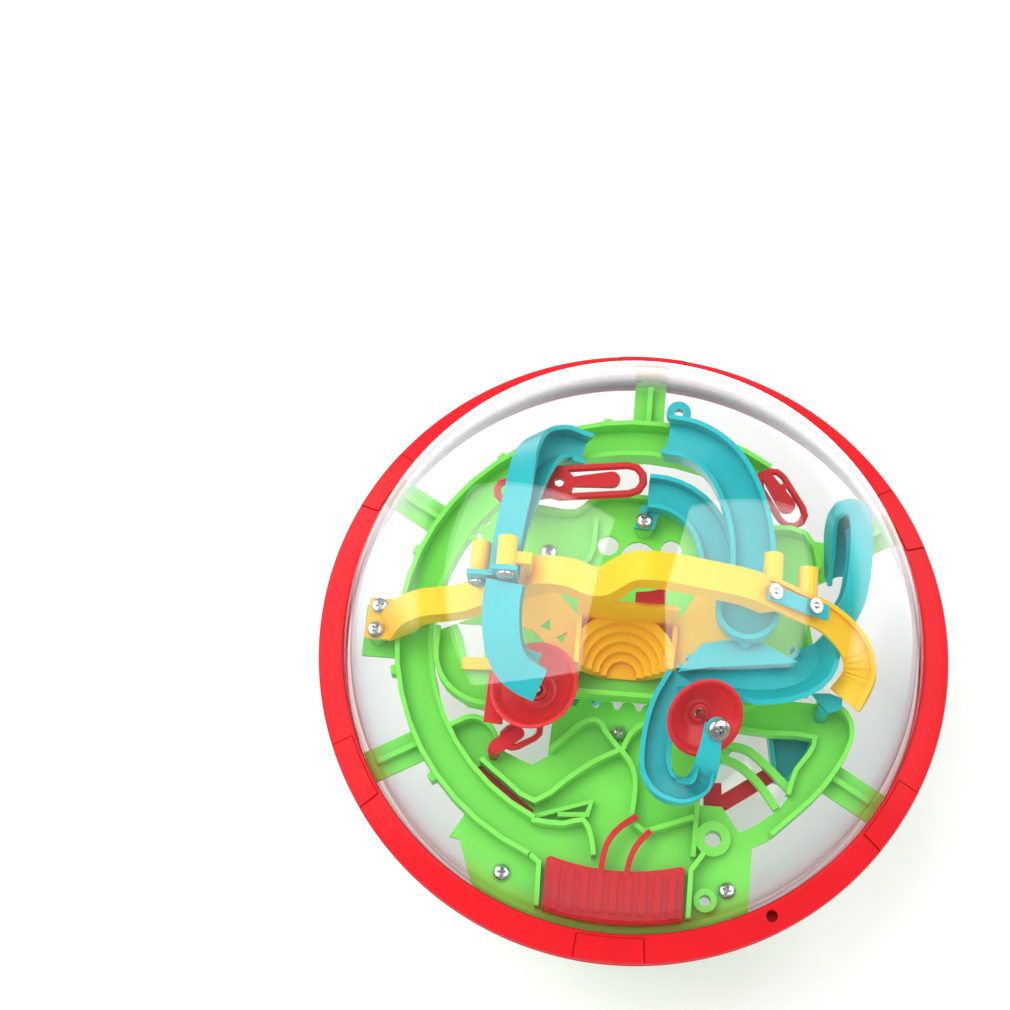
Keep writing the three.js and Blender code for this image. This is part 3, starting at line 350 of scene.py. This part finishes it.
def carved(mesh, tool, place=(0, 0, 0), tool_overlaps=False):
    """The mesh with the tool's shape cut out of it; a tool may be made of solids that overlap."""
    blank = add_object("blank", mesh)
    cutter = add_object("cutter", tool)
    cutter.location = place
    cut = blank.modifiers.new("cut", "BOOLEAN")
    cut.object = cutter
    cut.operation = "DIFFERENCE"
    cut.solver = "EXACT"
    cut.use_self = tool_overlaps
    bpy.context.view_layer.update()
    done = bpy.data.meshes.new_from_object(blank.evaluated_get(bpy.context.evaluated_depsgraph_get()))
    bpy.data.objects.remove(blank)
    bpy.data.objects.remove(cutter)
    return done


MERGE_DISTANCE = 2e-6  # metres
FLAT_ANGLE = math.radians(0.8)  # CAD facets that meet at less are one flat face
QUAD_FACE_ANGLE = 0.35
QUAD_SHAPE_ANGLE = 1.2
REFINED_SHARP_ANGLE = 40
ROUND_EDGE_ANGLE = math.radians(32)


def refined(node, name, material, slot, width, subdivide):
    """A CAD solid's moulded look: flats merged, edges rounded by width millimetres, shading smoothed."""
    mesh = NODES[node].data.copy()
    bm = bmesh.new()
    bm.from_mesh(mesh)
    bmesh.ops.remove_doubles(bm, verts=bm.verts, dist=MERGE_DISTANCE)
    bmesh.ops.dissolve_limit(bm, angle_limit=FLAT_ANGLE, verts=bm.verts, edges=bm.edges)
    bmesh.ops.triangulate(bm, faces=[f for f in bm.faces if len(f.verts) > 4])
    bmesh.ops.join_triangles(
        bm,
        faces=bm.faces,
        angle_face_threshold=QUAD_FACE_ANGLE,
        angle_shape_threshold=QUAD_SHAPE_ANGLE,
    )
    bm.to_mesh(mesh)
    bm.free()
    if mesh.has_custom_normals:
        mesh.attributes.remove(mesh.attributes["custom_normal"])
    smooth_by_angle(mesh, REFINED_SHARP_ANGLE)
    mesh.name = name
    piece = place_piece(name, mesh, material, "ball", node)
    bevel = piece.modifiers.new("edge_round", "BEVEL")
    bevel.width = width * MM
    bevel.segments = 2
    bevel.limit_method = "ANGLE"
    bevel.angle_limit = ROUND_EDGE_ANGLE
    bevel.use_clamp_overlap = True
    bevel.harden_normals = False
    if subdivide:
        subsurf = piece.modifiers.new("smooth", "SUBSURF")
        subsurf.levels = subdivide
        subsurf.render_levels = subdivide
    normals = piece.modifiers.new("normals", "WEIGHTED_NORMAL")
    normals.keep_sharp = True


# ---- equator ring, in millimetres -----------------------------------------------------------------
RING_R = round(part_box("ring_upper")[1].x / MM, 3)
RING_SPLIT = 0.15  # half the gap between the two halves
RING_EDGE_TOP = 2.9
LIP_TOP = 6.6
LIP_OUT = 88.0
LIP_IN = 87.0
SEAT_R = 88.7  # the groove that takes the domes' flanges
SEAT_TOP = 2.7
RING_ROUNDING = 0.7
RING_SHARP_ANGLE = 30
RIM_HOLE_X = 46.0
RIM_HOLE_Y = -78.0
RIM_HOLE_LOW = 0.6
RIM_HOLE_R = 1.7
DRILL_TOP = 12.0
PAD_ANGLES = range(30, 360, 60)
PAD_HALF = 6.2  # half the width of a pad, degrees
PAD_RISE = 0.5
PAD_IN = 88.3  # the pads and their seams lie on the slope between these radii
PAD_OUT = 94.75
SEAM_DEPTH = 0.35
SEAM_REACH = 0.3  # degrees either side of a pad's edge where only the seam's own stations lie
# at a pad's edge: degrees towards the pad's middle, share of the pad's rise, share of the seam's depth
SEAM = ((-0.22, 0.0, 0.0), (-0.12, 0.0, 1.0), (0.0, 0.0, 1.0), (0.04, 1.0, 0.0))


def ring_stations():
    """Angles round the ring in radians, each with a share of the pads' rise and of the seams' depth."""
    stations = [(float(d), None) for d in range(360)]
    for pad in PAD_ANGLES:
        for edge, inward in ((pad - PAD_HALF, 1), (pad + PAD_HALF, -1)):
            for shift, lift, groove in SEAM:
                stations.append((edge + inward * shift, (lift, groove)))
    table = []
    for degrees, marks in sorted(stations, key=lambda s: s[0]):
        off = min(abs((degrees - pad + 180) % 360 - 180) for pad in PAD_ANGLES)
        if marks is None:
            if abs(off - PAD_HALF) < SEAM_REACH:
                continue
            marks = (1.0 if off < PAD_HALF else 0.0, 0.0)
        table.append((math.radians(degrees), *marks))
    return table


def ring_half(name, node, sign):
    """One half of the equator ring, with a fine turned section and, on top, six raised pads."""
    outline = [
        (SEAT_R, RING_SPLIT),
        (RING_R, RING_SPLIT),
        (RING_R, RING_EDGE_TOP),
        (LIP_OUT, LIP_TOP),
        (LIP_IN, LIP_TOP),
        (LIP_IN, SEAT_TOP),
        (SEAT_R, SEAT_TOP),
    ]
    section = rounded(outline, RING_ROUNDING, 4)
    stations = ring_stations() if sign > 0 else [(math.radians(d), 0.0, 0.0) for d in range(360)]
    bm = bmesh.new()
    rings = []
    for angle, lift, groove in stations:
        ring = []
        for r, z in section:
            on_slope = PAD_IN < r < PAD_OUT and z > SEAT_TOP
            height = z + (PAD_RISE * lift - SEAM_DEPTH * groove if on_slope else 0.0)
            x, y = r * MM * math.cos(angle), r * MM * math.sin(angle)
            ring.append(bm.verts.new((x, y, sign * height * MM)))
        rings.append(ring)
    for i, a in enumerate(rings):
        b = rings[(i + 1) % len(rings)]
        for k in range(len(section)):
            m = (k + 1) % len(section)
            bm.faces.new((a[k], b[k], b[m], a[m]))
    bmesh.ops.recalc_face_normals(bm, faces=bm.faces)
    mesh = mesh_of(bm, name)
    if sign > 0:
        corners = ((0.0, RIM_HOLE_LOW), (RIM_HOLE_R, RIM_HOLE_LOW), (RIM_HOLE_R, DRILL_TOP), (0.0, DRILL_TOP))
        drill = lathe_mesh("drill", [(r * MM, z * MM) for r, z in corners], 32)
        mesh = carved(mesh, drill, (RIM_HOLE_X * MM, RIM_HOLE_Y * MM, 0))
    smooth_by_angle(mesh, RING_SHARP_ANGLE)
    place_piece(name, mesh, "ring", "ball", node)


ring_half("equator_ring_top", "ring_upper", 1)
ring_half("equator_ring_bottom", "ring_lower", -1)

# ---- clear domes, in millimetres ------------------------------------------------------------------
DOME_R = round(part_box("dome_upper")[1].z / MM, 3)
DOME_WALL = 1.8
SKIRT = 7.0  # height of the straight part above the flange
FLANGE_R = 88.4
FLANGE_LOW = 1.05
FLANGE_TOP = 2.4
DOME_STEPS = 48


def dome(name, node, sign):
    """A clear half ball on a short straight skirt, with a flange that sits in the ring's groove."""
    inner = DOME_R - DOME_WALL
    start = math.asin(SKIRT / DOME_R)
    skirt_r = math.sqrt(DOME_R ** 2 - SKIRT ** 2)
    angles = [start + (math.pi / 2 - start) * i / DOME_STEPS for i in range(DOME_STEPS)]
    profile = [
        (skirt_r - DOME_WALL, FLANGE_LOW),
        (FLANGE_R, FLANGE_LOW),
        (FLANGE_R, FLANGE_TOP),
        (skirt_r, FLANGE_TOP),
        *((DOME_R * math.cos(a), DOME_R * math.sin(a)) for a in angles),
        (0.0, DOME_R),
        (0.0, inner),
        *((inner * math.cos(a), inner * math.sin(a)) for a in reversed(angles)),
    ]
    mesh = lathe_mesh(name, [(r * MM, sign * z * MM) for r, z in profile], 192)
    place_piece(name, mesh, "clear", "ball", node)


dome("clear_dome_top", "dome_upper", 1)
dome("clear_dome_bottom", "dome_lower", -1)

# ---- boards, bridge, rails, loops -----------------------------------------------------------------
# CAD node, piece, material, slot, edge rounding in millimetres, levels of subdivision
PLAIN = [
    ("maze_board", "green_maze_board", "green", "green_plastic", 0.3, 0),
    ("centre_tray", "green_centre_tray", "green", "green_plastic", 0.3, 0),
    ("lower_tray", "green_lower_tray", "green", "green_plastic", 0.3, 0),
    ("start_block", "red_start_block", "deep", "deep_red_plastic", 0.25, 0),
    ("stepped_funnel", "yellow_stepped_funnel", "yellow", "yellow_plastic", 0.35, 0),
    ("bridge", "yellow_bridge", "yellow", "yellow_plastic", 0.35, 0),
    ("lower_bridge", "yellow_lower_bridge", "yellow", "yellow_plastic", 0.35, 1),
    ("rail_left", "teal_rail_left", "teal", "teal_plastic", 0.35, 0),
    ("rail_right", "teal_rail_right", "teal", "teal_plastic", 0.35, 0),
    ("rail_inner", "teal_rail_inner", "teal", "teal_plastic", 0.35, 0),
    ("rail_arch", "teal_rail_arch", "teal", "teal_plastic", 0.35, 1),
    ("lower_rail", "teal_lower_rail", "teal", "teal_plastic", 0.35, 1),
    ("clamp_right", "teal_clamp_right", "teal", "teal_plastic", 0.3, 0),
    ("catch_box", "teal_catch_box", "teal", "teal_plastic", 0.3, 0),
    ("foot_right", "teal_foot_right", "teal", "teal_plastic", 0.25, 0),
    ("loop_back", "red_loop_back", "deep", "deep_red_plastic", 0.2, 0),
    ("loop_side", "red_loop_side", "deep", "deep_red_plastic", 0.2, 0),
    ("loop_front", "red_loop_front", "deep", "deep_red_plastic", 0.2, 0),
    ("slot_bar", "red_slot_bar", "deep", "deep_red_plastic", 0.25, 0),
    ("fork_bar", "red_fork_bar", "deep", "deep_red_plastic", 0.25, 0),
    ("edge_bar", "red_edge_bar", "deep", "deep_red_plastic", 0.25, 0),
    ("gate", "red_gate", "deep", "deep_red_plastic", 0.25, 0),
    ("cup_bracket", "red_cup_bracket", "cup", "red_plastic", 0.25, 0),
]
for row in PLAIN:
    refined(*row)

# ---- red cups, in millimetres ---------------------------------------------------------------------
HUB_R = 2.8
CUP = [
    (1.5, 0.0),
    (5.0, 0.0),
    (10.4, 4.6),
    (12.0, 7.6),
    (10.8, 7.9),
    (9.2, 5.4),
    (4.6, 1.6),
    (HUB_R, 1.6),
    (HUB_R, 3.2),
    (1.5, 3.2),
]
CUP_ROUNDING = 0.6


def cup(name, node, body, origin, axis, scale):
    """A turned cup that stands at the origin and opens along the axis; its hub and bore aren't scaled."""
    outline = [((r if r <= HUB_R else r * scale) * MM, z * MM) for r, z in CUP]
    mesh = lathe_mesh(name, rounded(outline, CUP_ROUNDING * MM, 3), 96)
    matrix = Matrix.Translation(Vector(origin)) @ upright_to(Vector(axis))
    place_piece(name, mesh, "cup", body, node, matrix)


for side, scale in (("left", 1.12), ("right", 0.98)):
    spin = JOINTS[f"{side}_cup_spin"]
    cup(f"red_cup_{side}", f"cup_{side}", f"{side}_cup", spin["pos_m"], spin["axis"], scale)
LOWER_LOW, LOWER_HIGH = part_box("lower_cup")
LOWER_MIDDLE = (LOWER_LOW + LOWER_HIGH) / 2
cup("red_cup_lower", "lower_cup", "ball", (LOWER_MIDDLE.x, LOWER_MIDDLE.y, LOWER_LOW.z), UP, 1.0)

# ---- screws, in millimetres -----------------------------------------------------------------------
HEAD_R = 2.6
HEAD_HEIGHT = 1.7
SHANK_R = 1.1
SHANK_CHAMFER = 0.6
RECESS_REACH = 0.66  # the cross, as shares of the head's radius
RECESS_HALF_WIDTH = 0.17
RECESS_TAPER = 0.45
RECESS_LOW = 0.35
RECESS_TOP = 2.4
SCREW_SHARP_ANGLE = 35
SCREW_TURN = 37.0  # degrees from one screw's cross to the next one's


def cross_tool(name, r):
    """Two crossed bars that narrow downwards, for the recess in a head of radius r."""
    bm = bmesh.new()
    for half_x, half_y in ((RECESS_REACH, RECESS_HALF_WIDTH), (RECESS_HALF_WIDTH, RECESS_REACH)):
        corners = [(x * half_x * r * MM, y * half_y * r * MM) for x, y in SQUARE]
        top = [bm.verts.new((x, y, RECESS_TOP * MM)) for x, y in corners]
        low = [bm.verts.new((x * RECESS_TAPER, y * RECESS_TAPER, RECESS_LOW * MM)) for x, y in corners]
        bm.faces.new(top)
        bm.faces.new(low[::-1])
        for i in range(4):
            j = (i + 1) % 4
            bm.faces.new((top[j], top[i], low[i], low[j]))
    bmesh.ops.recalc_face_normals(bm, faces=bm.faces)
    return mesh_of(bm, name)


def screw_mesh(name, scale, length):
    """Pan-head screw with a pressed cross recess and a rounded rim; the head's underside is at z 0."""
    r = HEAD_R * scale
    shank = SHANK_R * min(scale, 1.0)
    profile = [
        (0.0, -length),
        (shank * 0.5, -length),
        (shank, SHANK_CHAMFER - length),
        (shank, 0.0),
        (r * 0.97, 0.0),
        (r, 0.25),
        (r * 0.98, 0.6),
        (r * 0.90, 1.02),
        (r * 0.74, 1.35),
        (r * 0.5, 1.58),
        (r * 0.25, 1.68),
        (0.0, HEAD_HEIGHT),
    ]
    blank = lathe_mesh(name, [(x * MM, z * MM) for x, z in profile], 40, 50)
    mesh = carved(blank, cross_tool(name + "_cutter", r), tool_overlaps=True)
    smooth_by_angle(mesh, SCREW_SHARP_ANGLE)
    mesh.name = name
    return mesh


def screw_axis(node):
    """Axis towards the head, centre of the head's top, length and head radius, from a CAD screw's corners."""
    co = np.array([v.co for v in NODES[node].data.vertices], float)
    co = np.unique(np.round(co, 7), axis=0)
    middle = co.mean(0)
    spread = np.cov((co - middle).T)
    values, vectors = np.linalg.eigh(spread)
    gaps = [abs(values[1] - values[2]), abs(values[0] - values[2]), abs(values[0] - values[1])]
    axis = vectors[:, int(np.argmin(gaps))]
    along = (co - middle) @ axis
    across = np.linalg.norm((co - middle) - np.outer(along, axis), axis=1)
    if along[np.argmax(across)] < 0:
        axis, along = -axis, -along
    top = middle + axis * along.max()
    return Vector(axis), Vector(top), (along.max() - along.min()) / MM, across.max() / MM


screw_cache = {}
for index, node in enumerate(sorted(n for n in NODES if n.startswith("screw_"))):
    axis, top, whole, radius = screw_axis(node)
    key = (round(whole, 1), round(radius, 2))
    if key not in screw_cache:
        screw_name = f"pan_screw_{len(screw_cache)}"
        screw_cache[key] = screw_mesh(screw_name, radius / HEAD_R, whole - HEAD_HEIGHT)
    turn = Matrix.Rotation(math.radians(SCREW_TURN * index), 4, "Z")
    matrix = Matrix.Translation(top - axis * HEAD_HEIGHT * MM) @ upright_to(axis) @ turn
    place_piece("pan_" + node, screw_cache[key].copy(), "steel", "ball", node, matrix)

# ---- marble ---------------------------------------------------------------------------------------
BALL_LOW, BALL_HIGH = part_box("marble")
BALL_MIDDLE = (BALL_LOW + BALL_HIGH) / 2
BALL_R = (BALL_HIGH.z - BALL_LOW.z) / 2
BALL_STEPS = 32
ball_turns = [math.pi * i / BALL_STEPS for i in range(1, BALL_STEPS)]
ball_curve = [(BALL_R * math.sin(t), -BALL_R * math.cos(t)) for t in ball_turns]
ball_profile = [(0.0, -BALL_R), *ball_curve, (0.0, BALL_R)]
ball_mesh = lathe_mesh("steel_marble", ball_profile, 2 * BALL_STEPS, 60)
ball_place = Matrix.Translation(BALL_MIDDLE)
place_piece("steel_marble", ball_mesh, "ball", "marble", "marble", ball_place)

# ---- floor, in metres -----------------------------------------------------------------------------
FLOOR_GAP = 0.0002
FLOOR_HALF = 3.0
PAPER_SCALE = 180.0
PAPER_ROUGHNESS = 0.8
PAPER_GLOW = 0.12
FLOOR_MIRROR = 0.45  # how bright the floor looks in reflections
FLOOR_MIRROR_BAND = 2.8  # and in its lit band behind the ball
BAND_RISE = (0.0, 0.12)  # y where the band begins and is full
BAND_FALL = (0.28, 0.50)  # y where it begins to fade and is gone


def floor_paper():
    """Pale paper whose reflections are seen brighter in a band behind the ball."""
    n = Nodes("floor_paper")
    place = n.place()
    paper = n.plastic_or_metal(
        {
            "Base Color": n.blend(n.noise(place, PAPER_SCALE, 4.0), PAPER_DARK, PAPER_LIGHT),
            "Roughness": PAPER_ROUGHNESS,
            "Emission Color": WHITE,
            "Emission Strength": PAPER_GLOW,
        }
    )
    y = n.add("ShaderNodeSeparateXYZ", {"Vector": place}).outputs["Y"]
    rise = n.remap(y, source=BAND_RISE)
    fall = n.remap(y, source=BAND_FALL, result=(1.0, 0.0))
    level = n.remap(n.maths("MULTIPLY", rise, fall), result=(FLOOR_MIRROR, FLOOR_MIRROR_BAND))
    return n.finish(n.either(n.ray_is("Glossy"), paper, n.light(level)))


floor_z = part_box("dome_lower")[0].z - FLOOR_GAP
bm = bmesh.new()
bm.faces.new([bm.verts.new((x * FLOOR_HALF, y * FLOOR_HALF, floor_z)) for x, y in SQUARE])
floor_mesh = mesh_of(bm, "floor")
floor_mesh.materials.append(floor_paper())
add_object("floor", floor_mesh)

# ---- light ----------------------------------------------------------------------------------------
# Fill is the strength that lights the scene; mirror is the strength seen in reflections.
WORLD_FILL = 0.88
WORLD_MIRROR = 0.30
PANEL_FILL = 1.0
PANEL_MIRROR = 3.0
PANEL_RANGE = 1.6  # metres from the ball
KEY_PLACE = Vector((-0.35, 0.1, 1.2))
KEY_SIZE = 0.7
KEY_POWER = 9.0

world = bpy.data.worlds.new("studio")
bpy.context.scene.world = world
world.use_nodes = True
sky = world.node_tree
sky_ray = sky.nodes.new("ShaderNodeLightPath")
sky_level = sky.nodes.new("ShaderNodeMapRange")
sky_level.inputs["To Min"].default_value = WORLD_FILL
sky_level.inputs["To Max"].default_value = WORLD_MIRROR
sky.links.new(sky_ray.outputs["Is Glossy Ray"], sky_level.inputs["Value"])
sky.links.new(sky_level.outputs["Result"], sky.nodes["Background"].inputs["Strength"])
sky.nodes["Background"].inputs["Color"].default_value = WHITE


def light_panel(name, directions):
    """A flat studio panel whose corners lie in the given directions from the ball."""
    rays = [Vector(d).normalized() for d in directions]
    facing = sum(rays, Vector()).normalized()
    bm = bmesh.new()
    bm.faces.new([bm.verts.new(ray * (PANEL_RANGE / ray.dot(facing))) for ray in rays])
    mesh = mesh_of(bm, name)
    n = Nodes(name)
    mesh.materials.append(n.finish(n.light(n.remap(n.ray_is("Glossy"), result=(PANEL_FILL, PANEL_MIRROR)))))
    add_object(name, mesh)


light_panel(
    "left_panel",
    [(-0.74, 0.66, 0.05), (-0.15, 0.54, 0.82), (-0.31, -0.42, 0.85), (-0.86, -0.38, 0.34)],
)
light_panel(
    "right_panel",
    [(0.27, 0.65, 0.71), (0.71, 0.68, 0.17), (0.89, -0.16, 0.43), (0.22, -0.37, 0.90), (0.18, 0.10, 0.98)],
)

key_light = bpy.data.lights.new("key_box", "AREA")
key_light.shape = "SQUARE"
key_light.size = KEY_SIZE
key_light.energy = KEY_POWER
key_lamp = add_object("key_box", key_light)
key_lamp.location = KEY_PLACE
key_lamp.rotation_mode = "QUATERNION"
key_lamp.rotation_quaternion = (-KEY_PLACE).to_track_quat("-Z", "Y")
key_lamp.visible_glossy = False

# ---- camera ---------------------------------------------------------------------------------------
CAMERA_RANGE = 0.665  # metres from the ball's centre
CAMERA_RISE = 1.29473  # radians above the floor
CAMERA_ROLL = 0.07638  # radians
AIM_ACROSS = 0.05796  # where the ball's centre lies off the middle of the picture, as slopes
AIM_DOWN = -0.06555
FOCAL_WIDTHS = 2.1621  # focal length in picture widths
SENSOR = 36.0

camera_data = bpy.data.cameras.new("camera")
camera_data.sensor_width = SENSOR
camera_data.lens = SENSOR * FOCAL_WIDTHS
camera_data.clip_start = 0.01
camera_data.clip_end = 50.0
camera = add_object("camera", camera_data)
eye = CAMERA_RANGE * Vector((0, -math.cos(CAMERA_RISE), math.sin(CAMERA_RISE)))
forward = -eye.normalized()
right = Vector((1, 0, 0))
up = right.cross(forward)
rolled_right = right * math.cos(CAMERA_ROLL) + up * math.sin(CAMERA_ROLL)
rolled_up = up * math.cos(CAMERA_ROLL) - right * math.sin(CAMERA_ROLL)
swing = UP.rotation_difference(Vector((AIM_ACROSS, AIM_DOWN, 1.0))).to_matrix()
axes = swing @ Matrix((rolled_right, rolled_up, forward))
camera.matrix_world = Matrix.Translation(eye) @ Matrix((axes[0], axes[1], -axes[2])).transposed().to_4x4()
bpy.context.scene.camera = camera
bpy.context.scene.view_settings.view_transform = "Standard"
